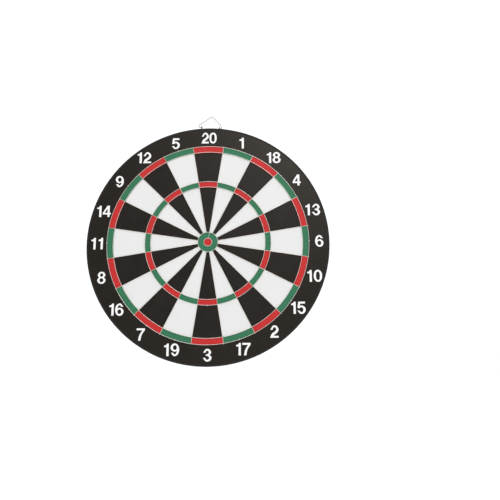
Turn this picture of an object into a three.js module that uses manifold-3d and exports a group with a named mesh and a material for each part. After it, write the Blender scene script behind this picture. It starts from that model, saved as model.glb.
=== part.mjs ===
// Wound-paper dartboard with a wire spider, wire staples and a swinging wire hanger.
//
// Millimetres, +Z up.  The board hangs upright: the 20 is at the top (+Z), the playing face
// looks along -Y, and the origin is the centre of the flat rear face.  Angles are clockwise
// from the top as a player sees them, so direction 0 is +Z and direction 90 degrees is +X.

import * as THREE from 'three';
import { mergeVertices } from 'three/addons/utils/BufferGeometryUtils.js';
import Module from 'manifold-3d';

// Board body: a paper strip wound on a dowel, faced with a sheet on each side, taped round the rim.
const BOARD_RADIUS = 205;
const BOARD_THICKNESS = 20;
const SHEET_THICKNESS = 1;
const BAND_THICKNESS = 1.2;
const PLUG_RADIUS = 4;

// Clearance left between pieces that touch on the real board.
const GAP = 0.3;

// Spider: the radii of the ring wires, and how far the radial wires run past the outermost ring.
const WIRE_RADIUS = 0.35;
const DOUBLE_OUTER_RADIUS = 170.2;
const DOUBLE_INNER_RADIUS = 159.7;
const TREBLE_OUTER_RADIUS = 106.3;
const TREBLE_INNER_RADIUS = 96.6;
const OUTER_BULL_RADIUS = 16.9;
const INNER_BULL_RADIUS = 6.9;
const RADIAL_OVERHANG = 1.6;

// Staples that hold the ring wires down.
const STAPLE_WIRE = 0.7;
const STAPLE_DEPTH = 7;
const STAPLE_POINT = 1;

// Hanger: a bent wire bail whose legs hook inwards through two screw eyes, in the middle of the
// rim's thickness.  It swings about the line of its two hooks, which falls a little to the right.
// Points are across and up.
const BAIL_WIRE_RADIUS = 0.6;
const BAIL_PEAK = [5.8, 231.9];
const BAIL_LEFT_SHOULDER = [-17.1, 216.4];
const BAIL_RIGHT_SHOULDER = [20.7, 214.5];
const BAIL_LEFT_FOOT = [-19, 212];
const BAIL_RIGHT_FOOT = [23.2, 208];
const BAIL_LEFT_HOOK_END_X = -10.9;
const BAIL_RIGHT_HOOK_END_X = 16.6;
const BAIL_BEND_LENGTH = 2;
const LEFT_EYE = { x: -13.2, ringZ: 211 };
const RIGHT_EYE = { x: 18.9, ringZ: 208.5 };
const EYE_WIRE_RADIUS = 0.7;
const EYE_RING_RADIUS = 3.2;
const EYE_SHANK_DEPTH = 14;
const EYE_POINT = 3;

// The order of the scores round the board, clockwise from the top.
const SCORES = [20, 1, 18, 4, 13, 6, 10, 15, 2, 17, 3, 19, 7, 16, 8, 11, 14, 9, 12, 5];
const SECTOR_ANGLE = (2 * Math.PI) / SCORES.length;
const DOUBLE_STAPLE_SCORES = [1, 4, 6, 15, 17, 19, 16, 11, 9, 5];
const TREBLE_STAPLE_SCORES = [20, 6, 3, 11];

// Facets.
const RIM_SEGMENTS = 120;
const WIRE_SIDES = 6;
const PLUG_SEGMENTS = 24;
const EYE_SEGMENTS = 24;
const EYE_SIDES = 10;
const BAIL_SIDES = 8;
const BAIL_STEPS = 96;

// Heights along Y that follow from the sizes above.
const FACE_Y = -BOARD_THICKNESS;
const MIDDLE_Y = -BOARD_THICKNESS / 2;
const CORE_RADIUS = BOARD_RADIUS - BAND_THICKNESS - GAP;
const CORE_FRONT_Y = FACE_Y + SHEET_THICKNESS + GAP;
const CORE_REAR_Y = -SHEET_THICKNESS - GAP;
const LOWER_WIRE_Y = FACE_Y - GAP - WIRE_RADIUS;
const UPPER_WIRE_Y = LOWER_WIRE_Y - GAP - 2 * WIRE_RADIUS;
const STAPLE_TIP_Y = FACE_Y + STAPLE_DEPTH;
const STAPLE_HALF_SPAN = WIRE_RADIUS + GAP + STAPLE_WIRE / 2;

const wasm = await Module();
wasm.setup();

const material = (color, roughness, metalness) =>
  new THREE.MeshStandardMaterial({ color, roughness, metalness });

const MATERIALS = {
  woundPaper: material(0xb58f60, 0.9, 0),
  printedPaper: material(0x35332f, 0.6, 0),
  backingPaper: material(0xa98355, 0.85, 0),
  edgeTape: material(0x24221f, 0.55, 0),
  plugWood: material(0xc9a26c, 0.8, 0),
  spiderWire: material(0xd2cfc6, 0.35, 1),
  stapleWire: material(0xb9b8b4, 0.3, 1),
  hangerWire: material(0xa9a9a8, 0.35, 1),
};

const board = new THREE.Group();

function addMesh(name, geometry, finish, parent = board) {
  const mesh = new THREE.Mesh(geometry, finish);
  mesh.name = name;
  parent.add(mesh);
  return mesh;
}

// A group turned so that its own +Z points outwards at a clockwise angle from the top.
function addSpoke(angle) {
  const spoke = new THREE.Group();
  spoke.rotation.y = angle;
  board.add(spoke);
  return spoke;
}

function toManifold(geometry) {
  const bare = new THREE.BufferGeometry();
  bare.setAttribute('position', geometry.getAttribute('position').clone());
  bare.setIndex(geometry.getIndex());
  const merged = mergeVertices(bare);
  return new wasm.Manifold(new wasm.Mesh({
    numProp: 3,
    vertProperties: new Float32Array(merged.getAttribute('position').array),
    triVerts: new Uint32Array(merged.getIndex().array),
  }));
}

function fromManifold(solid) {
  const mesh = solid.getMesh();
  const geometry = new THREE.BufferGeometry();
  geometry.setAttribute('position', new THREE.BufferAttribute(mesh.vertProperties, 3));
  geometry.setIndex(new THREE.BufferAttribute(mesh.triVerts, 1));
  geometry.computeVertexNormals();
  return geometry;
}

function cutAway(geometry, cutters) {
  let solid = toManifold(geometry);
  for (const cutter of cutters) {
    solid = solid.subtract(toManifold(cutter));
  }
  return fromManifold(solid);
}

// A solid disc about the board's axis, from one height along Y to a higher one.
function disc(radius, lowY, highY, segments) {
  const geometry = new THREE.CylinderGeometry(radius, radius, highY - lowY, segments);
  return geometry.translate(0, (lowY + highY) / 2, 0);
}

// A flat ring about the board's axis, made from its rectangular section.
function flatRing(innerRadius, outerRadius, lowY, highY, segments) {
  const section = [
    new THREE.Vector2(innerRadius, lowY),
    new THREE.Vector2(outerRadius, lowY),
    new THREE.Vector2(outerRadius, highY),
    new THREE.Vector2(innerRadius, highY),
    new THREE.Vector2(innerRadius, lowY),
  ];
  return new THREE.LatheGeometry(section, segments);
}

// A round wire bent into a ring about the Y axis.
function wireRing(ringRadius, wireRadius, sides, segments) {
  const section = [];
  for (let side = 0; side < sides; side += 1) {
    const turn = (2 * Math.PI * side) / sides;
    section.push(new THREE.Vector2(
      ringRadius + wireRadius * Math.cos(turn),
      wireRadius * Math.sin(turn),
    ));
  }
  section.push(section[0].clone());
  return new THREE.LatheGeometry(section, segments);
}

// Staples: one entry for each, with the ring wire it crosses and that wire's height.
function sectorAngle(score) {
  return SCORES.indexOf(score) * SECTOR_ANGLE;
}

function staplePlaces() {
  const places = [];
  for (const score of DOUBLE_STAPLE_SCORES) {
    places.push({
      name: `double_staple_${score}`,
      angle: sectorAngle(score),
      radius: DOUBLE_OUTER_RADIUS,
      wireY: UPPER_WIRE_Y,
    });
  }
  for (const score of TREBLE_STAPLE_SCORES) {
    places.push({
      name: `treble_staple_${score}`,
      angle: sectorAngle(score),
      radius: TREBLE_OUTER_RADIUS,
      wireY: UPPER_WIRE_Y,
    });
  }
  for (const [side, angle] of [['top', 0], ['bottom', Math.PI]]) {
    places.push({
      name: `bull_staple_${side}`,
      angle,
      radius: INNER_BULL_RADIUS,
      wireY: LOWER_WIRE_Y,
    });
  }
  return places;
}

// A staple's outline in its own X (across the ring wire) and Y (into the board).
function stapleGeometry(wireY) {
  const crownInside = wireY - WIRE_RADIUS - GAP;
  const crownOutside = crownInside - STAPLE_WIRE;
  const inside = STAPLE_HALF_SPAN - STAPLE_WIRE / 2;
  const outside = STAPLE_HALF_SPAN + STAPLE_WIRE / 2;
  const outline = new THREE.Shape([
    new THREE.Vector2(-outside, crownOutside),
    new THREE.Vector2(outside, crownOutside),
    new THREE.Vector2(outside, STAPLE_TIP_Y - STAPLE_POINT),
    new THREE.Vector2(STAPLE_HALF_SPAN, STAPLE_TIP_Y),
    new THREE.Vector2(inside, STAPLE_TIP_Y - STAPLE_POINT),
    new THREE.Vector2(inside, crownInside),
    new THREE.Vector2(-inside, crownInside),
    new THREE.Vector2(-inside, STAPLE_TIP_Y - STAPLE_POINT),
    new THREE.Vector2(-STAPLE_HALF_SPAN, STAPLE_TIP_Y),
    new THREE.Vector2(-outside, STAPLE_TIP_Y - STAPLE_POINT),
  ]);
  const geometry = new THREE.ExtrudeGeometry(outline, { depth: STAPLE_WIRE, bevelEnabled: false });
  geometry.translate(0, 0, -STAPLE_WIRE / 2);
  return geometry.rotateY(-Math.PI / 2);
}

// The square pilot holes of one staple's two legs, from just in front of the face.
function staplePilotHoles({ angle, radius }) {
  const width = STAPLE_WIRE + 2 * GAP;
  const length = STAPLE_DEPTH + 2 * GAP;
  return [-STAPLE_HALF_SPAN, STAPLE_HALF_SPAN].map((offset) => {
    const hole = new THREE.BoxGeometry(width, length, width);
    hole.translate(0, FACE_Y - GAP + length / 2, radius + offset);
    return hole.rotateY(angle);
  });
}

// Screw eye: the ring stands in the plane across X, over a shank that runs down into the rim.
function eyeTipZ({ x }) {
  return Math.sqrt(BOARD_RADIUS ** 2 - x ** 2) - EYE_SHANK_DEPTH;
}

function shank({ x, ringZ }, radius, tipZ) {
  const topZ = ringZ - EYE_RING_RADIUS;
  const pointZ = tipZ + EYE_POINT;
  const outline = [
    new THREE.Vector2(0, tipZ),
    new THREE.Vector2(radius, pointZ),
    new THREE.Vector2(radius, topZ),
    new THREE.Vector2(0, topZ),
  ];
  const geometry = new THREE.LatheGeometry(outline, EYE_SIDES);
  geometry.rotateX(Math.PI / 2);
  return geometry.translate(x, MIDDLE_Y, 0);
}

function eyeGeometry(eye) {
  const ring = wireRing(EYE_RING_RADIUS, EYE_WIRE_RADIUS, EYE_SIDES, EYE_SEGMENTS);
  ring.rotateZ(Math.PI / 2);
  ring.translate(eye.x, MIDDLE_Y, eye.ringZ);
  const solid = toManifold(ring).add(toManifold(shank(eye, EYE_WIRE_RADIUS, eyeTipZ(eye))));
  return fromManifold(solid);
}

function eyePilotHole(eye) {
  return shank(eye, EYE_WIRE_RADIUS + GAP, eyeTipZ(eye) - GAP);
}

// A point on the straight line through the bail's two feet, which both hooks lie on.
function hookPoint(x) {
  const along = (x - BAIL_LEFT_FOOT[0]) / (BAIL_RIGHT_FOOT[0] - BAIL_LEFT_FOOT[0]);
  return [x, THREE.MathUtils.lerp(BAIL_LEFT_FOOT[1], BAIL_RIGHT_FOOT[1], along)];
}

// The bail's centre line: straight runs joined by short curved bends.
function bailPath() {
  const corners = [
    hookPoint(BAIL_LEFT_HOOK_END_X),
    BAIL_LEFT_FOOT,
    BAIL_LEFT_SHOULDER,
    BAIL_PEAK,
    BAIL_RIGHT_SHOULDER,
    BAIL_RIGHT_FOOT,
    hookPoint(BAIL_RIGHT_HOOK_END_X),
  ].map(([x, z]) => new THREE.Vector3(x, MIDDLE_Y, z));
  const path = new THREE.CurvePath();
  let start = corners[0];
  for (let index = 1; index < corners.length - 1; index += 1) {
    const corner = corners[index];
    const arrive = corner.clone().sub(start).setLength(BAIL_BEND_LENGTH);
    const leave = corners[index + 1].clone().sub(corner).setLength(BAIL_BEND_LENGTH);
    const bendStart = corner.clone().sub(arrive);
    const bendEnd = corner.clone().add(leave);
    path.add(new THREE.LineCurve3(start, bendStart));
    path.add(new THREE.QuadraticBezierCurve3(bendStart, corner, bendEnd));
    start = bendEnd;
  }
  path.add(new THREE.LineCurve3(start, corners[corners.length - 1]));
  return path;
}

function bailGeometry() {
  const section = new THREE.Shape();
  for (let side = 0; side < BAIL_SIDES; side += 1) {
    const turn = (2 * Math.PI * side) / BAIL_SIDES;
    const x = BAIL_WIRE_RADIUS * Math.cos(turn);
    const y = BAIL_WIRE_RADIUS * Math.sin(turn);
    if (side === 0) section.moveTo(x, y);
    else section.lineTo(x, y);
  }
  return new THREE.ExtrudeGeometry(section, { steps: BAIL_STEPS, extrudePath: bailPath() });
}

function addBoardBody() {
  const stapleHoles = staplePlaces().flatMap(staplePilotHoles);
  const eyeHoles = [LEFT_EYE, RIGHT_EYE].map(eyePilotHole);

  const core = flatRing(PLUG_RADIUS + GAP, CORE_RADIUS, CORE_FRONT_Y, CORE_REAR_Y, RIM_SEGMENTS);
  addMesh('paper_coil_core', cutAway(core, [...stapleHoles, ...eyeHoles]), MATERIALS.woundPaper);

  const plug = disc(PLUG_RADIUS, CORE_FRONT_Y, CORE_REAR_Y, PLUG_SEGMENTS);
  addMesh('centre_plug', plug, MATERIALS.plugWood);

  const front = disc(CORE_RADIUS, FACE_Y, FACE_Y + SHEET_THICKNESS, RIM_SEGMENTS);
  addMesh('front_sheet', cutAway(front, stapleHoles), MATERIALS.printedPaper);

  const rear = disc(CORE_RADIUS, -SHEET_THICKNESS, 0, RIM_SEGMENTS);
  addMesh('rear_sheet', rear, MATERIALS.backingPaper);

  const band = flatRing(BOARD_RADIUS - BAND_THICKNESS, BOARD_RADIUS, FACE_Y, 0, RIM_SEGMENTS);
  addMesh('edge_band', cutAway(band, eyeHoles), MATERIALS.edgeTape);
}

function addRingWires() {
  const rings = [
    ['double_outer_ring', DOUBLE_OUTER_RADIUS, UPPER_WIRE_Y, 80],
    ['double_inner_ring', DOUBLE_INNER_RADIUS, UPPER_WIRE_Y, 80],
    ['treble_outer_ring', TREBLE_OUTER_RADIUS, UPPER_WIRE_Y, 60],
    ['treble_inner_ring', TREBLE_INNER_RADIUS, UPPER_WIRE_Y, 60],
    ['outer_bull_ring', OUTER_BULL_RADIUS, UPPER_WIRE_Y, 40],
    ['inner_bull_ring', INNER_BULL_RADIUS, LOWER_WIRE_Y, 24],
  ];
  for (const [name, radius, wireY, segments] of rings) {
    const geometry = wireRing(radius, WIRE_RADIUS, WIRE_SIDES, segments);
    const ring = addMesh(name, geometry, MATERIALS.spiderWire);
    ring.position.y = wireY;
  }
}

// One radial wire on each sector boundary.  The first runs on inwards to the inner bull ring.
function addRadialWires() {
  const outerEnd = DOUBLE_OUTER_RADIUS + RADIAL_OVERHANG;
  SCORES.forEach((score, index) => {
    const next = SCORES[(index + 1) % SCORES.length];
    const innerEnd = index === 0
      ? INNER_BULL_RADIUS + WIRE_RADIUS + GAP
      : OUTER_BULL_RADIUS - WIRE_RADIUS;
    const length = outerEnd - innerEnd;
    const wire = new THREE.CylinderGeometry(WIRE_RADIUS, WIRE_RADIUS, length, WIRE_SIDES);
    wire.rotateX(Math.PI / 2);
    const spoke = addSpoke((index + 0.5) * SECTOR_ANGLE);
    const mesh = addMesh(`radial_wire_${score}_${next}`, wire, MATERIALS.spiderWire, spoke);
    mesh.position.set(0, LOWER_WIRE_Y, innerEnd + length / 2);
  });
}

function addStaples() {
  for (const { name, angle, radius, wireY } of staplePlaces()) {
    const mesh = addMesh(name, stapleGeometry(wireY), MATERIALS.stapleWire, addSpoke(angle));
    mesh.position.z = radius;
  }
}

function addHanger() {
  addMesh('hanger_eye_left', eyeGeometry(LEFT_EYE), MATERIALS.hangerWire);
  addMesh('hanger_eye_right', eyeGeometry(RIGHT_EYE), MATERIALS.hangerWire);
  addMesh('hanger_bail', bailGeometry(), MATERIALS.hangerWire);
}

addBoardBody();
addRingWires();
addRadialWires();
addStaples();
addHanger();

export default board;
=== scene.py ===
"""Looks for a wound-paper dartboard: printed face, wire spider, staples, taped rim and hanger.

Laid out as a Blender add-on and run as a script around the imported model.
All sizes are metres, in the model's own frame: +Z up, the playing face looks along -Y, and the
origin is the centre of the rear face.  Angles are clockwise from the top as a player sees them.
"""

import math

import bmesh
import bpy
from bpy.props import FloatProperty, FloatVectorProperty, IntProperty, PointerProperty
from mathutils import Matrix, Vector


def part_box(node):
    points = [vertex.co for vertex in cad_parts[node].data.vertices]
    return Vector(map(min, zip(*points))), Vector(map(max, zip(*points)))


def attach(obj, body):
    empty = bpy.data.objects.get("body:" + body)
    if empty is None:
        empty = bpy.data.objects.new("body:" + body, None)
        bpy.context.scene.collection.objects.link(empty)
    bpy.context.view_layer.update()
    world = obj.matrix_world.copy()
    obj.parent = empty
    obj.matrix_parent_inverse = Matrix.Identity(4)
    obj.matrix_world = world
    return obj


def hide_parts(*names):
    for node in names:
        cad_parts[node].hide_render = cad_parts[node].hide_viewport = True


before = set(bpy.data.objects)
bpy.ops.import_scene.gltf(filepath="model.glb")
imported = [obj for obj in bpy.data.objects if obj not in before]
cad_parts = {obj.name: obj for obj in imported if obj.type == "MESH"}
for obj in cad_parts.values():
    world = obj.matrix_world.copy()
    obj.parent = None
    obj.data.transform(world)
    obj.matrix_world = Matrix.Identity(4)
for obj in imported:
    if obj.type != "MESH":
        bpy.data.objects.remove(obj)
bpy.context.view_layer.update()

bl_info = {
    "name": "Wound Paper Dartboard",
    "version": (1, 0, 0),
    "blender": (4, 5, 0),
    "location": "View3D > Sidebar > Dartboard",
    "description": "Builds the printed face, spider, staples, rim tape and hanger of a dartboard",
    "category": "Object",
}

MM = 0.001
ACROSS = Vector((1, 0, 0))
BOARD_AXIS = Vector((0, 1, 0))
UP = Vector((0, 0, 1))

# The gap that the model keeps between touching pieces.
GAP = 0.3 * MM

# Where the two soft lights stand, and how wide they are.
KEY_LIGHT = ((0.42, -1.85, 1.15), 0.8)
REAR_LIGHT = ((1.1, 1.4, 1.0), 1.2)

# The way from the board to the darkest part of the surround.
SHADED_WAY = Vector((-0.5, -0.8, -0.3)).normalized()
FLOOR_HALF_WIDTH = 20.0

# The order of the scores round the board, clockwise from the top.
SCORES = (20, 1, 18, 4, 13, 6, 10, 15, 2, 17, 3, 19, 7, 16, 8, 11, 14, 9, 12, 5)
SECTOR = math.tau / len(SCORES)
DOUBLE_STAPLE_SCORES = (1, 4, 6, 15, 17, 19, 16, 11, 9, 5)
TREBLE_STAPLE_SCORES = (20, 6, 3, 11)

# Numeral outlines, closed loops for each digit.  The cap height is 1 and the base line is at 0.
# A point is (across, up), and a third value of 1 makes it a sharp corner.
DIGITS = {
    "0": (
        ((0.35, 1.012), (0.7, 0.5), (0.35, -0.012), (0.0, 0.5)),
        ((0.35, 0.86), (0.512, 0.5), (0.35, 0.14), (0.188, 0.5)),
    ),
    "1": (
        (
            (0.15, 0.72, 1), (0.345, 0.72, 1), (0.345, 0.0, 1), (0.53, 0.0, 1),
            (0.53, 1.0, 1), (0.385, 1.0, 1), (0.31, 0.885), (0.15, 0.84, 1),
        ),
    ),
    "2": (
        (
            (0.0, 0.0, 1), (0.7, 0.0, 1), (0.7, 0.155, 1), (0.265, 0.155, 1),
            (0.43, 0.3), (0.615, 0.455), (0.7, 0.695), (0.355, 1.012),
            (0.02, 0.65, 1), (0.2, 0.65, 1), (0.355, 0.865), (0.512, 0.69),
            (0.405, 0.52), (0.165, 0.345),
        ),
    ),
    "3": (
        (
            (0.0, 0.29, 1), (0.182, 0.29, 1), (0.35, 0.135), (0.525, 0.288),
            (0.37, 0.445), (0.26, 0.448, 1), (0.26, 0.575, 1), (0.365, 0.58),
            (0.495, 0.72), (0.35, 0.868), (0.2, 0.71, 1), (0.02, 0.71, 1),
            (0.35, 1.012), (0.685, 0.74), (0.555, 0.53, 1), (0.72, 0.285),
            (0.35, -0.012),
        ),
    ),
    "4": (
        (
            (0.41, 0.0, 1), (0.41, 0.225, 1), (0.0, 0.225, 1), (0.0, 0.38, 1),
            (0.39, 1.0, 1), (0.585, 1.0, 1), (0.585, 0.365, 1), (0.69, 0.365, 1),
            (0.69, 0.225, 1), (0.585, 0.225, 1), (0.585, 0.0, 1),
        ),
        ((0.41, 0.365, 1), (0.41, 0.765, 1), (0.155, 0.365, 1)),
    ),
    "5": (
        (
            (0.095, 1.0, 1), (0.655, 1.0, 1), (0.655, 0.845, 1), (0.25, 0.845, 1),
            (0.215, 0.63, 1), (0.385, 0.685), (0.7, 0.345), (0.335, -0.012),
            (0.0, 0.265, 1), (0.182, 0.265, 1), (0.34, 0.133), (0.51, 0.34),
            (0.35, 0.545), (0.188, 0.46, 1), (0.022, 0.48, 1),
        ),
    ),
    "6": (
        (
            (0.675, 0.735, 1), (0.495, 0.735, 1), (0.37, 0.868), (0.235, 0.765),
            (0.188, 0.57, 1), (0.39, 0.65), (0.7, 0.325), (0.355, -0.012),
            (0.0, 0.47), (0.365, 1.012),
        ),
        ((0.355, 0.52), (0.515, 0.325), (0.355, 0.133), (0.195, 0.325)),
    ),
    "7": (
        (
            (0.0, 1.0, 1), (0.68, 1.0, 1), (0.68, 0.855, 1), (0.43, 0.47),
            (0.325, 0.0, 1), (0.135, 0.0, 1), (0.235, 0.43), (0.475, 0.845, 1),
            (0.0, 0.845, 1),
        ),
    ),
    "8": (
        (
            (0.35, 1.012), (0.665, 0.745), (0.55, 0.53, 1), (0.7, 0.283),
            (0.35, -0.012), (0.0, 0.283), (0.15, 0.53, 1), (0.035, 0.745),
        ),
        ((0.35, 0.872), (0.485, 0.735), (0.35, 0.595), (0.215, 0.735)),
        ((0.35, 0.465), (0.515, 0.29), (0.35, 0.125), (0.185, 0.29)),
    ),
}
DIGITS["9"] = tuple(
    tuple((0.7 - point[0], 1.0 - point[1], *point[2:]) for point in loop)
    for loop in DIGITS["6"]
)

# The step from the first digit to the second in cap heights, where it isn't the usual one.
PAIR_STEPS = {"20": 0.70, "10": 0.69, "13": 0.69, "19": 0.69, "11": 0.615}

# Numbers whose digits are printed narrower than the others, and by how much.
NARROWED = {"20": 0.92}

# How far each numeral is printed off its place on the ring, in millimetres across and up.
NUDGES = {
    20: (1, 0), 1: (0.5, -1), 18: (4, -2), 4: (1.5, -2), 13: (1, -3), 6: (1, 0), 10: (0.5, -1.5),
    15: (-1.5, -2), 2: (-0.5, 1), 17: (1, 0), 7: (1, -1.5), 16: (1, -2), 8: (0.5, -1),
    11: (-0.5, -0.5), 14: (-0.5, -2), 9: (-2, -1), 12: (-2, 0.5), 5: (0.5, -0.5),
}


# ---- sizes read from the frame ----

def middle(name):
    """The middle of a node's box."""
    low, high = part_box(name)
    return (low + high) / 2


def half_height(name):
    """Half a node's height, which is its radius if it lies round the board's axis."""
    low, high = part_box(name)
    return (high.z - low.z) / 2


def half_depth(name):
    """Half a node's depth along the board's axis."""
    low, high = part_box(name)
    return (high.y - low.y) / 2


WIRE_RADIUS = half_depth("radial_wire_20_1")
LOWER_WIRE_Y = middle("radial_wire_20_1").y
UPPER_WIRE_Y = middle("double_outer_ring").y
RIM_RADIUS = half_height("edge_band")
SHEET_RADIUS = half_height("front_sheet")
FACE_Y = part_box("front_sheet")[0].y
SHEET_REAR_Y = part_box("front_sheet")[1].y
MIDDLE_Y = middle("edge_band").y
RINGS = {
    name: half_height(name) - WIRE_RADIUS
    for name in (
        "double_outer_ring",
        "double_inner_ring",
        "treble_outer_ring",
        "treble_inner_ring",
        "outer_bull_ring",
        "inner_bull_ring",
    )
}


# ---- settings ----

class DartboardPrintSettings(bpy.types.PropertyGroup):
    """The printed face."""

    cap_height: FloatProperty(
        name="Cap height", description="Height of the numerals",
        default=19.8 * MM, min=0.005, unit="LENGTH",
    )
    digit_pitch: FloatProperty(
        name="Digit pitch", description="Usual step from one digit to the next, in cap heights",
        default=0.65, min=0.5, max=1.0, subtype="FACTOR",
    )
    numeral_ring: FloatProperty(
        name="Numeral ring", description="Radius of the circle that the numerals stand on",
        default=186.6 * MM, min=0.1, unit="LENGTH",
    )
    ink_thickness: FloatProperty(
        name="Ink thickness", description="How far the white numerals stand off the sheet",
        default=0.1 * MM, min=0.0, unit="LENGTH",
    )
    spill: FloatProperty(
        name="Spill", description="How far the coloured rings are printed past their wires",
        default=0.35 * MM, unit="LENGTH",
    )
    treble_outer_spill: FloatProperty(
        name="Treble outer spill", description="The same for the outer wire of the treble ring",
        default=-0.2 * MM, unit="LENGTH",
    )
    steps: IntProperty(
        name="Steps", description="Facets round the sheet; a multiple of 40 keeps the sectors exact",
        default=240, min=40, max=720,
    )
    band_black: FloatVectorProperty(
        name="Band black", description="Ink of the number band",
        default=(0.0058, 0.0042, 0.0026), subtype="COLOR", min=0, max=1,
    )
    sector_black: FloatVectorProperty(
        name="Sector black", description="Ink of the black sectors",
        default=(0.0078, 0.0062, 0.0048), subtype="COLOR", min=0, max=1,
    )
    white: FloatVectorProperty(
        name="White", description="The unprinted white of the sheet",
        default=(0.673, 0.673, 0.670), subtype="COLOR", min=0, max=1,
    )
    numeral_white: FloatVectorProperty(
        name="Numeral white", description="White ink of the numerals",
        default=(0.80, 0.80, 0.795), subtype="COLOR", min=0, max=1,
    )
    red: FloatVectorProperty(
        name="Red", description="Red ink of the scoring rings",
        default=(0.478, 0.0225, 0.0225), subtype="COLOR", min=0, max=1,
    )
    green: FloatVectorProperty(
        name="Green", description="Green ink of the scoring rings",
        default=(0.030, 0.154, 0.078), subtype="COLOR", min=0, max=1,
    )


class DartboardRimSettings(bpy.types.PropertyGroup):
    """The tape round the rim, the backing sheet, the coil and its dowel."""

    front_lip: FloatProperty(
        name="Front lip", description="Width of the tape folded over the playing face",
        default=3.0 * MM, min=0.0, unit="LENGTH",
    )
    rear_lip: FloatProperty(
        name="Rear lip", description="Width of the tape folded over the back",
        default=7.0 * MM, min=0.0, unit="LENGTH",
    )
    lip_thickness: FloatProperty(
        name="Tape thickness", description="How far the folded tape stands off the sheets",
        default=0.2 * MM, min=0.0, unit="LENGTH",
    )
    corner: FloatProperty(
        name="Corner radius", description="Rounding of the rim's two edges",
        default=0.7 * MM, min=0.0, unit="LENGTH",
    )
    rib_pitch: FloatProperty(
        name="Rib pitch", description="Step between the ribs that the coil presses into the back",
        default=4.0 * MM, min=0.001, unit="LENGTH",
    )
    rib_depth: FloatProperty(
        name="Rib depth", description="Depth of the hollows between those ribs",
        default=0.12 * MM, min=0.0, unit="LENGTH",
    )
    tape: FloatVectorProperty(
        name="Tape", description="Colour of the cloth tape",
        default=(0.012, 0.0115, 0.011), subtype="COLOR", min=0, max=1,
    )
    kraft: FloatVectorProperty(
        name="Kraft", description="Colour of the backing paper",
        default=(0.40, 0.24, 0.115), subtype="COLOR", min=0, max=1,
    )
    coil: FloatVectorProperty(
        name="Coil", description="Colour of the wound paper inside",
        default=(0.46, 0.27, 0.12), subtype="COLOR", min=0, max=1,
    )
    dowel: FloatVectorProperty(
        name="Dowel", description="Colour of the wooden dowel in the middle",
        default=(0.55, 0.36, 0.16), subtype="COLOR", min=0, max=1,
    )


class DartboardWireSettings(bpy.types.PropertyGroup):
    """The spider and its staples."""

    sides: IntProperty(
        name="Sides", description="Facets round each wire", default=12, min=6, max=24,
    )
    weld_radius: FloatProperty(
        name="Weld radius", description="Size of the spot weld where a ring crosses a radial wire",
        default=0.4 * MM, min=0.0, unit="LENGTH",
    )
    cut_rounding: FloatProperty(
        name="Cut rounding", description="Rounding of the cut ends of the radial wires",
        default=0.2 * MM, min=0.0, unit="LENGTH",
    )
    staple_radius: FloatProperty(
        name="Staple radius", description="Half the thickness of the staples' wire",
        default=0.35 * MM, min=0.0001, unit="LENGTH",
    )
    staple_bend: FloatProperty(
        name="Staple bend", description="Rounding of a staple's two shoulders",
        default=0.5 * MM, min=0.0, unit="LENGTH",
    )
    wire: FloatVectorProperty(
        name="Wire", description="Colour of the galvanised spider wire",
        default=(0.78, 0.75, 0.68), subtype="COLOR", min=0, max=1,
    )
    staple: FloatVectorProperty(
        name="Staple", description="Colour of the staple wire",
        default=(0.92, 0.92, 0.91), subtype="COLOR", min=0, max=1,
    )


class DartboardHangerSettings(bpy.types.PropertyGroup):
    """The bail and its two screw eyes."""

    bail_peak: FloatVectorProperty(
        name="Bail peak", description="Where the two slopes of the bail meet, across and up",
        default=(5.8 * MM, 231.9 * MM), size=2, unit="LENGTH",
    )
    left_shoulder: FloatVectorProperty(
        name="Left shoulder", description="The top of the bail's left leg, across and up",
        default=(-17.1 * MM, 216.4 * MM), size=2, unit="LENGTH",
    )
    right_shoulder: FloatVectorProperty(
        name="Right shoulder", description="The top of the bail's right leg, across and up",
        default=(20.7 * MM, 214.5 * MM), size=2, unit="LENGTH",
    )
    left_foot: FloatVectorProperty(
        name="Left foot", description="Where the left leg turns inwards, across and up",
        default=(-19.0 * MM, 212.0 * MM), size=2, unit="LENGTH",
    )
    right_foot: FloatVectorProperty(
        name="Right foot", description="Where the right leg turns inwards, across and up",
        default=(23.2 * MM, 208.0 * MM), size=2, unit="LENGTH",
    )
    hook_ends: FloatVectorProperty(
        name="Hook ends", description="Where the left and right hooks end, across",
        default=(-10.9 * MM, 16.6 * MM), size=2, unit="LENGTH",
    )
    bend_setback: FloatProperty(
        name="Bend setback", description="How far before each corner the wire starts to bend",
        default=2.0 * MM, min=0.0, unit="LENGTH",
    )
    neck_bend: FloatProperty(
        name="Neck bend", description="Radius of the bend where an eye's shank turns into its ring",
        default=1.6 * MM, min=0.0, unit="LENGTH",
    )
    ring_turn: FloatProperty(
        name="Ring turn", description="How far an eye's wire runs round its ring",
        default=math.radians(318), min=0.0, max=math.tau, subtype="ANGLE",
    )
    thread_past_rim: FloatProperty(
        name="Thread past rim", description="How far the thread runs on above the rim",
        default=2.5 * MM, unit="LENGTH",
    )
    thread_pitch: FloatProperty(
        name="Thread pitch", description="Step of the wood-screw thread",
        default=1.3 * MM, min=0.0002, unit="LENGTH",
    )
    thread_height: FloatProperty(
        name="Thread height", description="How far the thread stands off the shank",
        default=0.28 * MM, min=0.0, unit="LENGTH",
    )
    wire: FloatVectorProperty(
        name="Wire", description="Colour of the hanger's wire",
        default=(0.25, 0.25, 0.247), subtype="COLOR", min=0, max=1,
    )


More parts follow.
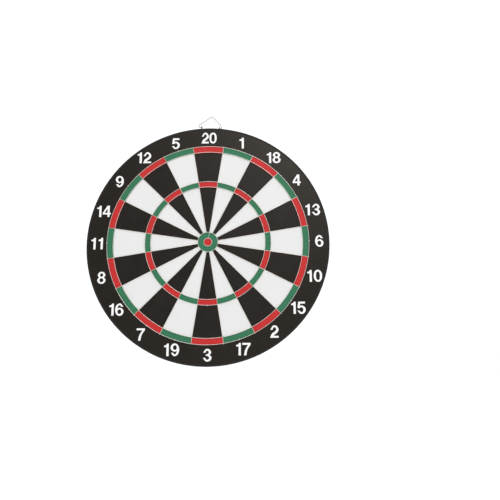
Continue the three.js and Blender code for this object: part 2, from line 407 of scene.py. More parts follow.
class DartboardStageSettings(bpy.types.PropertyGroup):
    """Camera, floor and light."""

    camera_right: FloatProperty(
        name="Camera right", description="How far right of the board's centre, in rim radii",
        default=0.3714,
    )
    camera_away: FloatProperty(
        name="Camera away", description="Distance in front of the playing face, in rim radii",
        default=4.023,
    )
    camera_below: FloatProperty(
        name="Camera below", description="How far below the board's centre, in rim radii",
        default=0.8415,
    )
    camera_turn: FloatVectorProperty(
        name="Camera turn", description="How far the camera looks up, leans right and looks left",
        default=(math.radians(10.86), math.radians(0.55), math.radians(0.47)),
        size=3, subtype="EULER",
    )
    lens: FloatProperty(
        name="Lens", description="Focal length, on a sensor 36 mm wide", default=36.0, min=10.0,
    )
    floor_drop: FloatProperty(
        name="Floor drop", description="Height of the board's lower edge above the floor",
        default=0.30, min=0.0, unit="LENGTH",
    )
    sky: FloatProperty(
        name="Surround light", description="Strength of the white surround", default=1.16, min=0.0,
    )
    sky_shade: FloatProperty(
        name="Shaded side", description="Strength of the surround in front of the board, low left",
        default=0.40, min=0.0,
    )
    key_power: FloatProperty(
        name="Key power", description="Power of the large soft light, in watts",
        default=14.5, min=0.0,
    )
    fill_power: FloatProperty(
        name="Fill power", description="Power of the rear soft light, in watts",
        default=8.0, min=0.0,
    )


# ---- material helpers ----

def start_material(name, colour, roughness, metallic=0.0, specular=0.5):
    """A Principled material, its node tree and its shader, with the plain values set."""
    material = bpy.data.materials.new(name)
    material.use_nodes = True
    tree = material.node_tree
    shader = tree.nodes["Principled BSDF"]
    shader.inputs["Base Color"].default_value = (*colour, 1.0)
    shader.inputs["Roughness"].default_value = roughness
    shader.inputs["Metallic"].default_value = metallic
    shader.inputs["Specular IOR Level"].default_value = specular
    return material, tree, shader


def node(tree, kind, **values):
    """A new node with its named input sockets and properties set."""
    made = tree.nodes.new(kind)
    for key, value in values.items():
        if key in made.inputs:
            made.inputs[key].default_value = value
        else:
            setattr(made, key, value)
    return made


def link(tree, source, target):
    """Joins an output socket to an input socket."""
    tree.links.new(source, target)


def object_coordinates(tree):
    """The piece's own coordinates, which are the model's."""
    return node(tree, "ShaderNodeTexCoord").outputs["Object"]


def math_node(tree, operation, first, second=0.0):
    """One arithmetic step on one or two values or sockets."""
    made = node(tree, "ShaderNodeMath", operation=operation)
    for socket, value in zip(made.inputs, (first, second)):
        if isinstance(value, (int, float)):
            socket.default_value = value
        else:
            link(tree, value, socket)
    return made.outputs[0]


def noise(tree, scale, detail=3.0, roughness=0.5, stretch=None):
    """A noise factor on object coordinates; stretch squeezes it along each axis."""
    made = node(tree, "ShaderNodeTexNoise", Scale=scale, Detail=detail, Roughness=roughness)
    vector = object_coordinates(tree)
    if stretch:
        mapping = node(tree, "ShaderNodeMapping", Scale=stretch)
        link(tree, vector, mapping.inputs["Vector"])
        vector = mapping.outputs["Vector"]
    link(tree, vector, made.inputs["Vector"])
    return made.outputs["Fac"]


def winding(tree, pitch, distortion):
    """Fine rings about the board's axis, one for each turn of the wound paper."""
    made = node(
        tree, "ShaderNodeTexWave", wave_type="RINGS", rings_direction="Y",
        Scale=math.pi / (10 * pitch), Distortion=distortion, Detail=2.0,
    )
    made.inputs["Detail Scale"].default_value = 0.4
    link(tree, object_coordinates(tree), made.inputs["Vector"])
    return made.outputs["Fac"]


def spread(tree, factor, low, high):
    """Stretches a factor from 0..1 to low..high."""
    made = node(tree, "ShaderNodeMapRange")
    made.inputs["To Min"].default_value = low
    made.inputs["To Max"].default_value = high
    link(tree, factor, made.inputs["Value"])
    return made.outputs["Result"]


def tint(tree, shader, colour, factor, darkest, lightest):
    """Varies the base colour between a darker and a lighter shade of one colour."""
    mix = node(tree, "ShaderNodeMix", data_type="RGBA")
    sockets = {socket.identifier: socket for socket in mix.inputs}
    sockets["A_Color"].default_value = (*(channel * darkest for channel in colour), 1.0)
    sockets["B_Color"].default_value = (*(min(1, channel * lightest) for channel in colour), 1.0)
    link(tree, factor, sockets["Factor_Float"])
    results = {socket.identifier: socket for socket in mix.outputs}
    link(tree, results["Result_Color"], shader.inputs["Base Color"])


def relief(tree, shader, height, depth, strength=1.0):
    """Bumps a surface by a height factor, in which a step of 1 is depth metres."""
    bump = node(tree, "ShaderNodeBump", Strength=strength, Distance=depth)
    link(tree, height, bump.inputs["Height"])
    link(tree, bump.outputs["Normal"], shader.inputs["Normal"])


# ---- materials ----

def ink_material(name, colour, roughness, specular, mottle, sheen_colour=(1, 1, 1)):
    """Printed paper: a mottled ink film over the faintly showing turns of wound paper."""
    material, tree, shader = start_material(name, colour, roughness, specular=specular)
    shader.inputs["Specular Tint"].default_value = (*sheen_colour, 1.0)
    grain = noise(tree, scale=420.0, detail=5.0, roughness=0.65)
    cloud = noise(tree, scale=38.0, detail=4.0, roughness=0.6)
    blotches = math_node(tree, "MULTIPLY", grain, cloud)
    tint(tree, shader, colour, blotches, darkest=1 - mottle, lightest=1 + 3 * mottle)
    link(tree, spread(tree, grain, roughness - 0.07, roughness + 0.07), shader.inputs["Roughness"])
    turns = winding(tree, pitch=1.6 * MM, distortion=1.5)
    height = math_node(tree, "ADD", math_node(tree, "MULTIPLY", turns, 0.35), grain)
    relief(tree, shader, height, depth=0.05 * MM, strength=0.6)
    return material


def kraft_material(name, colour):
    """Brown kraft paper with fibres and flecks, drawn tight over the turns of the coil."""
    material, tree, shader = start_material(name, colour, 0.82, specular=0.25)
    fibres = noise(tree, scale=260.0, detail=6.0, roughness=0.7, stretch=(1.0, 1.0, 3.5))
    cloud = noise(tree, scale=14.0, detail=3.0)
    fibre_share = math_node(tree, "MULTIPLY", fibres, 0.6)
    cloud_share = math_node(tree, "MULTIPLY", cloud, 0.4)
    patches = math_node(tree, "ADD", fibre_share, cloud_share)
    tint(tree, shader, colour, patches, darkest=0.62, lightest=1.35)
    turns = winding(tree, pitch=2.4 * MM, distortion=2.0)
    height = math_node(tree, "ADD", turns, math_node(tree, "MULTIPLY", fibres, 0.5))
    relief(tree, shader, height, depth=0.09 * MM, strength=0.8)
    return material


def coil_material(name, colour):
    """The edges of a tightly wound strip of paper."""
    material, tree, shader = start_material(name, colour, 0.9, specular=0.2)
    turns = winding(tree, pitch=0.8 * MM, distortion=1.0)
    tint(tree, shader, colour, turns, darkest=0.6, lightest=1.2)
    relief(tree, shader, turns, depth=0.1 * MM)
    return material


def dowel_material(name, colour):
    """Bare wood with its grain along the board's axis."""
    material, tree, shader = start_material(name, colour, 0.7, specular=0.3)
    grain = noise(tree, scale=600.0, detail=4.0, stretch=(1.0, 0.08, 1.0))
    tint(tree, shader, colour, grain, darkest=0.7, lightest=1.2)
    relief(tree, shader, grain, depth=0.04 * MM)
    return material


def tape_material(name, colour):
    """Black cloth tape: a plain weave that follows the rim, under a thin dull coat."""
    material, tree, shader = start_material(name, colour, 0.6, specular=0.18)
    parts = node(tree, "ShaderNodeSeparateXYZ")
    link(tree, object_coordinates(tree), parts.inputs["Vector"])
    x, y, z = (parts.outputs[axis] for axis in "XYZ")
    around = math_node(tree, "MULTIPLY", math_node(tree, "ARCTAN2", x, z), RIM_RADIUS)
    squares = math_node(tree, "ADD", math_node(tree, "POWER", x, 2.0), math_node(tree, "POWER", z, 2.0))
    across = math_node(tree, "ADD", math_node(tree, "SQRT", squares), y)
    thread_pitch = 0.9 * MM
    threads = math.tau / thread_pitch
    warp = math_node(tree, "SINE", math_node(tree, "MULTIPLY", around, threads))
    weft = math_node(tree, "SINE", math_node(tree, "MULTIPLY", across, threads))
    weave = math_node(tree, "MULTIPLY", warp, weft)
    scuffs = noise(tree, scale=90.0, detail=6.0, roughness=0.7)
    tint(tree, shader, colour, scuffs, darkest=0.6, lightest=2.0)
    link(tree, spread(tree, scuffs, 0.5, 0.72), shader.inputs["Roughness"])
    relief(tree, shader, weave, depth=0.03 * MM, strength=0.7)
    return material


def wire_material(name, colour, roughness):
    """Galvanised wire: dull zinc with cloudy patches and a fine grain."""
    material, tree, shader = start_material(name, colour, roughness, metallic=1.0)
    patches = noise(tree, scale=700.0, detail=4.0, roughness=0.6)
    tint(tree, shader, colour, patches, darkest=0.72, lightest=1.22)
    link(tree, spread(tree, patches, roughness - 0.1, roughness + 0.14), shader.inputs["Roughness"])
    grain = noise(tree, scale=2600.0, detail=3.0)
    relief(tree, shader, grain, depth=0.02 * MM, strength=0.6)
    return material


# ---- mesh helpers ----

def clockwise(angle):
    """The direction on the face at a clockwise angle from the top."""
    return Vector((math.sin(angle), 0, math.cos(angle)))


def place(angle, radius, y):
    """Turns and moves a piece made at the top of the board to its angle, radius and depth."""
    turned = Matrix.Rotation(angle, 4, BOARD_AXIS)
    return turned @ Matrix.Translation(Vector((0, y, radius)))


def finish_piece(name, mesh_source, body, materials, smooth_angle=None):
    """Turns a bmesh into a piece that rides on a body and has its materials."""
    mesh = bpy.data.meshes.new(name)
    mesh_source.to_mesh(mesh)
    mesh_source.free()
    for material in materials:
        mesh.materials.append(material)
    piece = bpy.data.objects.new(name, mesh)
    bpy.context.scene.collection.objects.link(piece)
    if smooth_angle is not None:
        mesh.shade_smooth()
        mesh.set_sharp_from_angle(angle=smooth_angle)
    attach(piece, body)
    return piece


def spin_section(mesh, section, steps, closed):
    """Spins a section of (radius, y) points once round the board's axis, from the top."""
    verts = [mesh.verts.new((0, y, radius)) for radius, y in section]
    pairs = list(zip(verts, verts[1:]))
    if closed:
        pairs.append((verts[-1], verts[0]))
    edges = [mesh.edges.new(pair) for pair in pairs]
    bmesh.ops.spin(
        mesh, geom=verts + edges, cent=(0, 0, 0), axis=BOARD_AXIS, angle=math.tau,
        steps=steps, use_merge=True,
    )
    bmesh.ops.remove_doubles(mesh, verts=mesh.verts, dist=1e-6)
    bmesh.ops.recalc_face_normals(mesh, faces=mesh.faces)


def wire_end(mesh, at, direction, radius, sides):
    """A round wire's first end face, ready to be drawn out."""
    turn = UP.rotation_difference(direction).to_matrix().to_4x4()
    made = bmesh.ops.create_circle(
        mesh, cap_ends=True, segments=sides, radius=radius,
        matrix=Matrix.Translation(at) @ turn,
    )
    return list({face for vert in made["verts"] for face in vert.link_faces})


def draw_out(mesh, faces, step, shrink=1.0):
    """Draws the wire's last faces out by a step, and returns the new last faces."""
    made = bmesh.ops.extrude_face_region(mesh, geom=faces)["geom"]
    verts = [part for part in made if isinstance(part, bmesh.types.BMVert)]
    bmesh.ops.translate(mesh, verts=verts, vec=step)
    if shrink != 1.0:
        centre = sum((vert.co for vert in verts), Vector()) / len(verts)
        bmesh.ops.scale(
            mesh, verts=verts, vec=(shrink,) * 3, space=Matrix.Translation(-centre),
        )
    return [part for part in made if isinstance(part, bmesh.types.BMFace)]


def bend_round(mesh, faces, centre, axis, angle, steps):
    """Bends the wire's last faces round a centre, and returns the new last faces."""
    made = bmesh.ops.spin(
        mesh, geom=faces, cent=centre, axis=axis, angle=angle, steps=steps, use_merge=False,
    )["geom_last"]
    return [part for part in made if isinstance(part, bmesh.types.BMFace)]


def bent_wire(mesh, corners, normal, radius, setback, sides, bend_steps=6, point=1.0):
    """Draws a round wire along straight runs with a curved bend at each corner between them."""
    runs = [after - before for before, after in zip(corners, corners[1:])]
    faces = wire_end(mesh, corners[0], runs[0].normalized(), radius * point, sides)
    start = corners[0]
    if point != 1.0:
        tip = runs[0].normalized() * radius * 2
        faces = draw_out(mesh, faces, tip, shrink=1 / point)
        start = start + tip
    for run, after, corner in zip(runs, runs[1:], corners[1:]):
        bend_start = corner - run.normalized() * setback
        faces = draw_out(mesh, faces, bend_start - start)
        angle = run.angle(after) * math.copysign(1, run.cross(after).dot(normal))
        bend_radius = setback / math.tan(abs(angle) / 2)
        side = normal.cross(run.normalized()) * math.copysign(bend_radius, angle)
        faces = bend_round(mesh, faces, bend_start + side, normal, angle, bend_steps)
        start = corner + after.normalized() * setback
    last = corners[-1] - start
    tip = runs[-1].normalized() * radius * 2
    if point == 1.0:
        draw_out(mesh, faces, last)
    else:
        faces = draw_out(mesh, faces, last - tip)
        draw_out(mesh, faces, tip, shrink=point)
    bmesh.ops.recalc_face_normals(mesh, faces=mesh.faces)


# ---- operators ----

class DARTBOARD_OT_stage(bpy.types.Operator):
    """Makes the camera, the pale floor, the white surround and the soft lights"""

    bl_idname = "dartboard.stage"
    bl_label = "Stage"

    def execute(self, context):
        settings = context.scene.dartboard_stage
        self.make_camera(context, settings)
        self.make_floor(context, settings)
        self.make_lights(context, settings)
        context.scene.view_settings.view_transform = "Standard"
        return {"FINISHED"}

    def make_camera(self, context, settings):
        data = bpy.data.cameras.new("camera")
        data.sensor_width = 36.0
        data.lens = settings.lens
        camera = bpy.data.objects.new("camera", data)
        camera.location = (
            settings.camera_right * RIM_RADIUS,
            FACE_Y - settings.camera_away * RIM_RADIUS,
            -settings.camera_below * RIM_RADIUS,
        )
        look_up, lean, look_left = settings.camera_turn
        camera.rotation_euler = (math.pi / 2 + look_up, lean, look_left)
        context.scene.collection.objects.link(camera)
        context.scene.camera = camera

    def make_floor(self, context, settings):
        mesh = bmesh.new()
        bmesh.ops.create_grid(
            mesh, x_segments=1, y_segments=1, size=FLOOR_HALF_WIDTH,
            matrix=Matrix.Translation((0, 0, -RIM_RADIUS - settings.floor_drop)),
        )
        data = bpy.data.meshes.new("floor")
        mesh.to_mesh(data)
        mesh.free()
        pale = (0.97, 0.97, 0.97)
        material, tree, shader = start_material("floor_paper", pale, 0.9, specular=0.1)
        tint(tree, shader, pale, noise(tree, scale=3.0), darkest=0.99, lightest=1.01)
        data.materials.append(material)
        floor = bpy.data.objects.new("floor", data)
        context.scene.collection.objects.link(floor)

    def make_lights(self, context, settings):
        self.make_surround(context, settings)
        self.make_soft_light(context, "key_light", *KEY_LIGHT, settings.key_power)
        self.make_soft_light(context, "rear_light", *REAR_LIGHT, settings.fill_power)

    def make_surround(self, context, settings):
        """A white surround that fades towards its shaded side."""
        world = bpy.data.worlds.new("surround")
        world.use_nodes = True
        context.scene.world = world
        tree = world.node_tree
        background = tree.nodes["Background"]
        background.inputs["Color"].default_value = (1.0, 1.0, 1.0, 1.0)
        shade = node(tree, "ShaderNodeVectorMath", operation="DOT_PRODUCT")
        shade.inputs[1].default_value = SHADED_WAY
        link(tree, node(tree, "ShaderNodeTexCoord").outputs["Generated"], shade.inputs[0])
        strength = spread(tree, shade.outputs["Value"], settings.sky, settings.sky_shade)
        link(tree, strength, background.inputs["Strength"])

    def make_soft_light(self, context, name, at, width, power):
        """A round soft light that faces the board."""
        data = bpy.data.lights.new(name, "AREA")
        data.shape = "DISK"
        data.size = width
        data.energy = power
        lamp = bpy.data.objects.new(name, data)
        lamp.location = at
        lamp.rotation_mode = "QUATERNION"
        lamp.rotation_quaternion = (-Vector(at)).to_track_quat("-Z", "Y")
        context.scene.collection.objects.link(lamp)


class DARTBOARD_OT_printed_face(bpy.types.Operator):
    """Makes the printed face sheet, with each panel's ink on its own faces"""

    bl_idname = "dartboard.printed_face"
    bl_label = "Printed face"

    # Each ink's roughness, gloss, mottling and, where it isn't white, the tint of its sheen.
    INKS = {
        "band_black": (0.43, 0.25, 0.7, (1, 0.93, 0.85)),
        "sector_black": (0.43, 0.2, 0.7, (1, 0.94, 0.89)),
        "white": (0.6, 0.2, 0.02),
        "red": (0.5, 0.18, 0.06),
        "green": (0.5, 0.18, 0.08),
    }

    def execute(self, context):
        settings = context.scene.dartboard_print
        inner_bull, outer_bull, *scoring = sorted(RINGS.values())
        spills = (-settings.spill, settings.treble_outer_spill, -settings.spill, settings.spill)
        panel_radii = [inner_bull, outer_bull]
        panel_radii += [radius + spill for radius, spill in zip(scoring, spills)]
        mesh = bmesh.new()
        section = [(0.0, FACE_Y)]
        section += [(radius, FACE_Y) for radius in panel_radii]
        section += [(SHEET_RADIUS, FACE_Y), (SHEET_RADIUS, SHEET_REAR_Y), (0.0, SHEET_REAR_Y)]
        spin_section(mesh, section, settings.steps, closed=False)
        names = list(self.INKS)
        for face in mesh.faces:
            face.material_index = names.index(self.ink_at(face.calc_center_median(), panel_radii))
        inks = [
            ink_material("ink_" + name, getattr(settings, name), *finish)
            for name, finish in self.INKS.items()
        ]
        sheet = finish_piece("printed_face", mesh, "board", inks)
        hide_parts("front_sheet")
        return {"FINISHED"}

    def ink_at(self, centre, panel_radii):
        """The ink of the panel that a point on the sheet lies in."""
        inner_bull, outer_bull, treble_in, treble_out, double_in, double_out = panel_radii
        radius = math.hypot(centre.x, centre.z)
        turn = math.atan2(centre.x, centre.z) + SECTOR / 2
        dark = int(turn % math.tau / SECTOR) % 2 == 0
        if radius < inner_bull:
            return "red"
        if radius < outer_bull:
            return "green"
        if radius > double_out:
            return "band_black"
        if treble_in < radius < treble_out or radius > double_in:
            return "red" if dark else "green"
        return "sector_black" if dark else "white"


class DARTBOARD_OT_numerals(bpy.types.Operator):
    """Makes the upright white numerals round the black band"""

    bl_idname = "dartboard.numerals"
    bl_label = "Numerals"

    def execute(self, context):
        settings = context.scene.dartboard_print
        mesh = bmesh.new()
        for index, score in enumerate(SCORES):
            number = self.number_mesh(str(score), settings)
            across, up = NUDGES.get(score, (0, 0))
            centre = clockwise(index * SECTOR) * settings.numeral_ring
            centre += Vector((across * MM, FACE_Y, up * MM))
            upright = Matrix.Rotation(math.pi / 2, 4, "X")
            number.transform(Matrix.Translation(centre) @ upright)
            mesh.from_mesh(number)
            bpy.data.meshes.remove(number)
        bmesh.ops.remove_doubles(mesh, verts=mesh.verts, dist=1e-6)
        bmesh.ops.recalc_face_normals(mesh, faces=mesh.faces)
        ink = ink_material(
            "ink_numeral_white", settings.numeral_white, roughness=0.6, specular=0.3, mottle=0.02,
        )
        finish_piece("printed_numerals", mesh, "board", [ink])
        return {"FINISHED"}

    def number_mesh(self, text, settings):
        """One number as a thin solid, centred on its own width and height."""
        curve = bpy.data.curves.new("number_" + text, "CURVE")
        curve.dimensions = "2D"
        curve.fill_mode = "BOTH"
        curve.extrude = settings.ink_thickness
        curve.resolution_u = 8
        for place_in_number, digit in enumerate(text):
            shift = place_in_number * PAIR_STEPS.get(text, settings.digit_pitch)
            width = NARROWED.get(text, 1.0)
            for loop in DIGITS[digit]:
                self.add_loop(curve, loop, shift, width, settings.cap_height)
        holder = bpy.data.objects.new("number_" + text, curve)
        mesh = bpy.data.meshes.new_from_object(holder)
        bpy.data.objects.remove(holder)
        bpy.data.curves.remove(curve)
        across = [vert.co.x for vert in mesh.vertices]
        middle_across = (min(across) + max(across)) / 2
        mesh.transform(Matrix.Translation((-middle_across, -settings.cap_height / 2, 0)))
        return mesh

    def add_loop(self, curve, loop, shift, width, height):
        """Adds one closed outline, smooth at its plain points and sharp at its corners."""
        spline = curve.splines.new("BEZIER")
        spline.bezier_points.add(len(loop) - 1)
        spline.use_cyclic_u = True
        for knot, point in zip(spline.bezier_points, loop):
            knot.co = ((point[0] * width + shift) * height, point[1] * height, 0)
            kind = "VECTOR" if len(point) > 2 else "AUTO"
            knot.handle_left_type = kind
            knot.handle_right_type = kind


class DARTBOARD_OT_board_body(bpy.types.Operator):
    """Makes the backing sheet and the rim tape, and finishes the coil and its dowel"""

    bl_idname = "dartboard.board_body"
    bl_label = "Board body"

    def execute(self, context):
        settings = context.scene.dartboard_rim
        self.make_backing(settings)
        self.make_tape(settings)
        coil = coil_material("coil_paper", settings.coil)
        dowel = dowel_material("dowel_wood", settings.dowel)
        for name, material in (("paper_coil_core", coil), ("centre_plug", dowel)):
            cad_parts[name].data.materials.clear()
            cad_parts[name].data.materials.append(material)
        return {"FINISHED"}

    def make_backing(self, settings):
        """A disc whose back is gently ribbed by the turns of paper under it."""
        low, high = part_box("rear_sheet")
        points_per_rib = 4
        steps = int(SHEET_RADIUS / settings.rib_pitch) * points_per_rib
        section = [(0.0, low.y), (SHEET_RADIUS, low.y)]
        for step in range(steps + 1):
            radius = SHEET_RADIUS * (1 - step / steps)
            dip = settings.rib_depth * (0.5 - 0.5 * math.cos(math.tau * radius / settings.rib_pitch))
            section.append((radius, high.y - dip))
        mesh = bmesh.new()
        spin_section(mesh, section, steps=120, closed=False)
        kraft = kraft_material("kraft_backing", settings.kraft)
        sheet = finish_piece(
            "backing_sheet", mesh, "board", [kraft],
            smooth_angle=math.radians(40),
        )
        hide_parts("rear_sheet")

    def make_tape(self, settings):
        """Tape round the rim, folded over both faces."""
        low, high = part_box("edge_band")
        inner = SHEET_RADIUS + GAP
        front, rear = low.y - settings.lip_thickness, high.y + settings.lip_thickness
        section = [
            (inner, low.y + settings.lip_thickness),
            (RIM_RADIUS - settings.front_lip, low.y),
            (RIM_RADIUS - settings.front_lip, front),
        ]
        for corner_y, start_turn in ((front + settings.corner, -90), (rear - settings.corner, 0)):
            for quarter_step in range(0, 91, 15):
                turn = math.radians(start_turn + quarter_step)
                section.append((
                    RIM_RADIUS - settings.corner + settings.corner * math.cos(turn),
                    corner_y + settings.corner * math.sin(turn),
                ))
        section += [
            (RIM_RADIUS - settings.rear_lip, rear),
            (RIM_RADIUS - settings.rear_lip, high.y),
            (inner, high.y - settings.lip_thickness),
        ]
        mesh = bmesh.new()
        spin_section(mesh, section, steps=240, closed=True)
        cloth = tape_material("cloth_tape", settings.tape)
        tape = finish_piece(
            "rim_tape", mesh, "board", [cloth], smooth_angle=math.radians(40),
        )
        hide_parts("edge_band")


class DARTBOARD_OT_spider(bpy.types.Operator):
    """Makes the ring wires, the radial wires and the spot welds between them"""

    bl_idname = "dartboard.spider"
    bl_label = "Spider"

    def execute(self, context):
        settings = context.scene.dartboard_wire
        zinc = wire_material("galvanised_wire", settings.wire, roughness=0.38)
        for name, radius in RINGS.items():
            self.make_ring(name, radius, settings, zinc)
        for index, score in enumerate(SCORES):
            following = SCORES[(index + 1) % len(SCORES)]
            self.make_radial(f"{score}_{following}", (index + 0.5) * SECTOR, settings, zinc)
        self.make_welds(settings, zinc)
        return {"FINISHED"}

    def make_ring(self, name, radius, settings, zinc):
        """A ring wire, with more facets the bigger it is."""
        mesh = bmesh.new()
        y = middle(name).y
        section = [
            (
                radius + WIRE_RADIUS * math.cos(math.tau * side / settings.sides),
                y + WIRE_RADIUS * math.sin(math.tau * side / settings.sides),
            )
            for side in range(settings.sides)
        ]
        spin_section(mesh, section, steps=70 + int(radius / MM), closed=True)
        piece = finish_piece(
            name + "_wire", mesh, "board", [zinc], smooth_angle=math.pi,
        )
        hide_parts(name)

    def make_radial(self, sectors, angle, settings, zinc):
        """A straight wire with slightly rounded cut ends."""
        name = "radial_wire_" + sectors
        low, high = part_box(name)
        centre = middle(name)
        reach = centre.dot(clockwise(angle))
        span = math.hypot(high.x - low.x, high.z - low.z)
        mesh = bmesh.new()
        bmesh.ops.create_cone(
            mesh, cap_ends=True, segments=settings.sides, radius1=WIRE_RADIUS,
            radius2=WIRE_RADIUS, depth=span - WIRE_RADIUS,
            matrix=place(angle, reach, centre.y),
        )
        end_rims = [edge for edge in mesh.edges if edge.calc_length() < WIRE_RADIUS]
        bmesh.ops.bevel(
            mesh, geom=end_rims, offset=settings.cut_rounding, segments=2, profile=0.5,
            affect="EDGES", material=-1,
        )
        piece = finish_piece(
            "spoke_" + sectors, mesh, "board", [zinc],
            smooth_angle=math.radians(50),
        )
        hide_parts(name)

    def make_welds(self, settings, zinc):
        """A squashed bead at each crossing of a ring wire with a radial wire."""
        mesh = bmesh.new()
        weld_y = (LOWER_WIRE_Y + UPPER_WIRE_Y) / 2
        crossed = [radius for name, radius in RINGS.items() if name != "inner_bull_ring"]
        squash = Matrix.Diagonal((1.25, 1.0, 1.25, 1.0))
        for index in range(len(SCORES)):
            for radius in crossed:
                at = place((index + 0.5) * SECTOR, radius, weld_y)
                bmesh.ops.create_icosphere(
                    mesh, subdivisions=2, radius=settings.weld_radius, matrix=at @ squash,
                )
        finish_piece("spot_welds", mesh, "board", [zinc], smooth_angle=math.pi)


class DARTBOARD_OT_staples(bpy.types.Operator):
    """Makes the staples that hold the ring wires down"""

    bl_idname = "dartboard.staples"
    bl_label = "Staples"

    def execute(self, context):
        settings = context.scene.dartboard_wire
        steel = wire_material("staple_steel", settings.staple, roughness=0.3)
        for score in DOUBLE_STAPLE_SCORES:
            self.make_staple(f"double_staple_{score}", score, "double_outer_ring", settings, steel)
        for score in TREBLE_STAPLE_SCORES:
            self.make_staple(f"treble_staple_{score}", score, "treble_outer_ring", settings, steel)
        for side, score in (("top", 20), ("bottom", 3)):
            self.make_staple(f"bull_staple_{side}", score, "inner_bull_ring", settings, steel)
        return {"FINISHED"}

    def make_staple(self, name, score, ring, settings, steel):
        """A staple with two pointed legs, one on each side of the ring wire that it crosses."""
        low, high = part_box(name)
        wire = settings.staple_radius
        half_span = WIRE_RADIUS + GAP + wire
        crown_y, tip_y = low.y + wire, high.y
        corners = [
            Vector((0, tip_y, -half_span)),
            Vector((0, crown_y, -half_span)),
            Vector((0, crown_y, half_span)),
            Vector((0, tip_y, half_span)),
        ]
        mesh = bmesh.new()
        bent_wire(
            mesh, corners, ACROSS, wire, settings.staple_bend, sides=8, bend_steps=4, point=0.3,
        )
        bmesh.ops.transform(
            mesh, verts=mesh.verts, matrix=place(SCORES.index(score) * SECTOR, RINGS[ring], 0),
        )
        piece = finish_piece(
            "wire_" + name, mesh, "board", [steel], smooth_angle=math.radians(60),
        )
        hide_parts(name)


class DARTBOARD_OT_hanger(bpy.types.Operator):
    """Makes the two threaded screw eyes and the bail that swings in them"""

    bl_idname = "dartboard.hanger"
    bl_label = "Hanger"

    def execute(self, context):
        settings = context.scene.dartboard_hanger
        steel = wire_material("hanger_steel", settings.wire, roughness=0.36)
        for side in ("left", "right"):
            self.make_eye(side, settings, steel)
        self.make_bail(settings, steel)
        return {"FINISHED"}

    def make_eye(self, side, settings, steel):
        """A shank that swings out at the neck and on round the ring, with a thread below."""
        name = "hanger_eye_" + side
        low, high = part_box(name)
        facet_allowance = 1.04
        wire = (high.x - low.x) / 2 * facet_allowance
        ring = half_depth(name) - wire
        at = Vector((middle(name).x, MIDDLE_Y, low.z))
        ring_centre = Vector((at.x, MIDDLE_Y, high.z - wire - ring))
        neck = settings.neck_bend
        swing = math.acos(neck / (neck + ring))
        neck_z = ring_centre.z - (neck + ring) * math.sin(swing)
        point_length, point_share = 3.0 * MM, 0.15
        mesh = bmesh.new()
        faces = wire_end(mesh, at, UP, wire * point_share, sides=16)
        faces = draw_out(mesh, faces, UP * point_length, shrink=1 / point_share)
        faces = draw_out(mesh, faces, UP * (neck_z - low.z - point_length))
        neck_centre = Vector((at.x, MIDDLE_Y + neck, neck_z))
        faces = bend_round(mesh, faces, neck_centre, ACROSS, -swing, steps=8)
        bend_round(mesh, faces, ring_centre, ACROSS, settings.ring_turn, steps=60)
        thread_top = math.sqrt(RIM_RADIUS**2 - at.x**2) + settings.thread_past_rim
        self.add_thread(mesh, at, wire, low.z + point_length, thread_top, settings)
        bmesh.ops.recalc_face_normals(mesh, faces=mesh.faces)
        piece = finish_piece(
            "screw_eye_" + side, mesh, "board", [steel],
            smooth_angle=math.radians(50),
        )
        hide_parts(name)

    def add_thread(self, mesh, at, wire, low_z, high_z, settings):
        """A ridge wound up the shank, wide at its foot and narrow at its crest."""
        steps_per_turn = 20
        half_foot, half_crest = settings.thread_pitch * 0.28, 0.05 * MM
        foot, crest = wire * 0.9, wire + settings.thread_height
        ridge = ((foot, -half_foot), (crest, -half_crest), (crest, half_crest), (foot, half_foot))
        verts = [
            mesh.verts.new((at.x, at.y + out, low_z + up)) for out, up in ridge
        ]
        face = mesh.faces.new(verts)
        turns = (high_z - low_z) / settings.thread_pitch
        bmesh.ops.spin(
            mesh, geom=[face], cent=(at.x, at.y, 0), axis=(0, 0, 1), angle=math.tau * turns,
            steps=int(turns * steps_per_turn), use_merge=False,
            dvec=(0, 0, settings.thread_pitch / steps_per_turn),
        )

    def make_bail(self, settings, steel):
        """One bent wire, whose two hooks lie on the straight line through its feet."""
        radius = half_depth("hanger_bail")
        left_foot, right_foot = Vector(settings.left_foot), Vector(settings.right_foot)
        hook_line = right_foot - left_foot
        left_end, right_end = (
            left_foot + hook_line * ((end - left_foot.x) / hook_line.x) for end in settings.hook_ends
        )
        corners = [
            Vector((across, MIDDLE_Y, up))
            for across, up in (
                left_end, left_foot, settings.left_shoulder, settings.bail_peak,
                settings.right_shoulder, right_foot, right_end,
            )
        ]
        mesh = bmesh.new()
        bent_wire(
            mesh, corners, BOARD_AXIS, radius, settings.bend_setback, sides=16, bend_steps=8,
        )
        piece = finish_piece(
            "bail", mesh, "hanger", [steel], smooth_angle=math.radians(50),
        )
        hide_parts("hanger_bail")


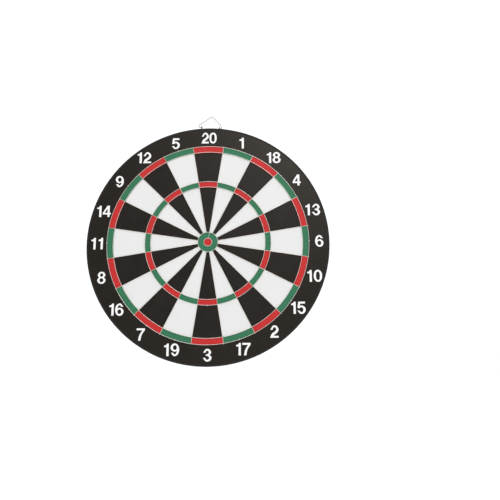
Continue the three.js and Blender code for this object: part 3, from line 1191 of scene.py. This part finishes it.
class DARTBOARD_PT_sidebar(bpy.types.Panel):
    """Lists the dartboard's pieces and their settings"""

    bl_label = "Dartboard"
    bl_idname = "DARTBOARD_PT_sidebar"
    bl_space_type = "VIEW_3D"
    bl_region_type = "UI"
    bl_category = "Dartboard"

    def draw(self, context):
        for group_name, operators in STEPS:
            box = self.layout.box()
            group = getattr(context.scene, group_name)
            for key in group.bl_rna.properties.keys():
                if key not in {"rna_type", "name"}:
                    box.prop(group, key)
            for operator in operators:
                box.operator(operator)


# Each settings group with the operators that read it, in the order they run.
STEPS = (
    ("dartboard_stage", ("dartboard.stage",)),
    ("dartboard_print", ("dartboard.printed_face", "dartboard.numerals")),
    ("dartboard_rim", ("dartboard.board_body",)),
    ("dartboard_wire", ("dartboard.spider", "dartboard.staples")),
    ("dartboard_hanger", ("dartboard.hanger",)),
)
SETTINGS = {
    "dartboard_stage": DartboardStageSettings,
    "dartboard_print": DartboardPrintSettings,
    "dartboard_rim": DartboardRimSettings,
    "dartboard_wire": DartboardWireSettings,
    "dartboard_hanger": DartboardHangerSettings,
}
OPERATORS = (
    DARTBOARD_OT_stage,
    DARTBOARD_OT_printed_face,
    DARTBOARD_OT_numerals,
    DARTBOARD_OT_board_body,
    DARTBOARD_OT_spider,
    DARTBOARD_OT_staples,
    DARTBOARD_OT_hanger,
)


def register():
    for name, group in SETTINGS.items():
        bpy.utils.register_class(group)
        setattr(bpy.types.Scene, name, PointerProperty(type=group))
    for operator in OPERATORS:
        bpy.utils.register_class(operator)
    bpy.utils.register_class(DARTBOARD_PT_sidebar)


def unregister():
    bpy.utils.unregister_class(DARTBOARD_PT_sidebar)
    for operator in reversed(OPERATORS):
        bpy.utils.unregister_class(operator)
    for name, group in reversed(SETTINGS.items()):
        delattr(bpy.types.Scene, name)
        bpy.utils.unregister_class(group)


def main():
    register()
    for _, operators in STEPS:
        for name in operators:
            group, operator = name.split(".")
            getattr(getattr(bpy.ops, group), operator)()


if __name__ == "__main__":
    main()
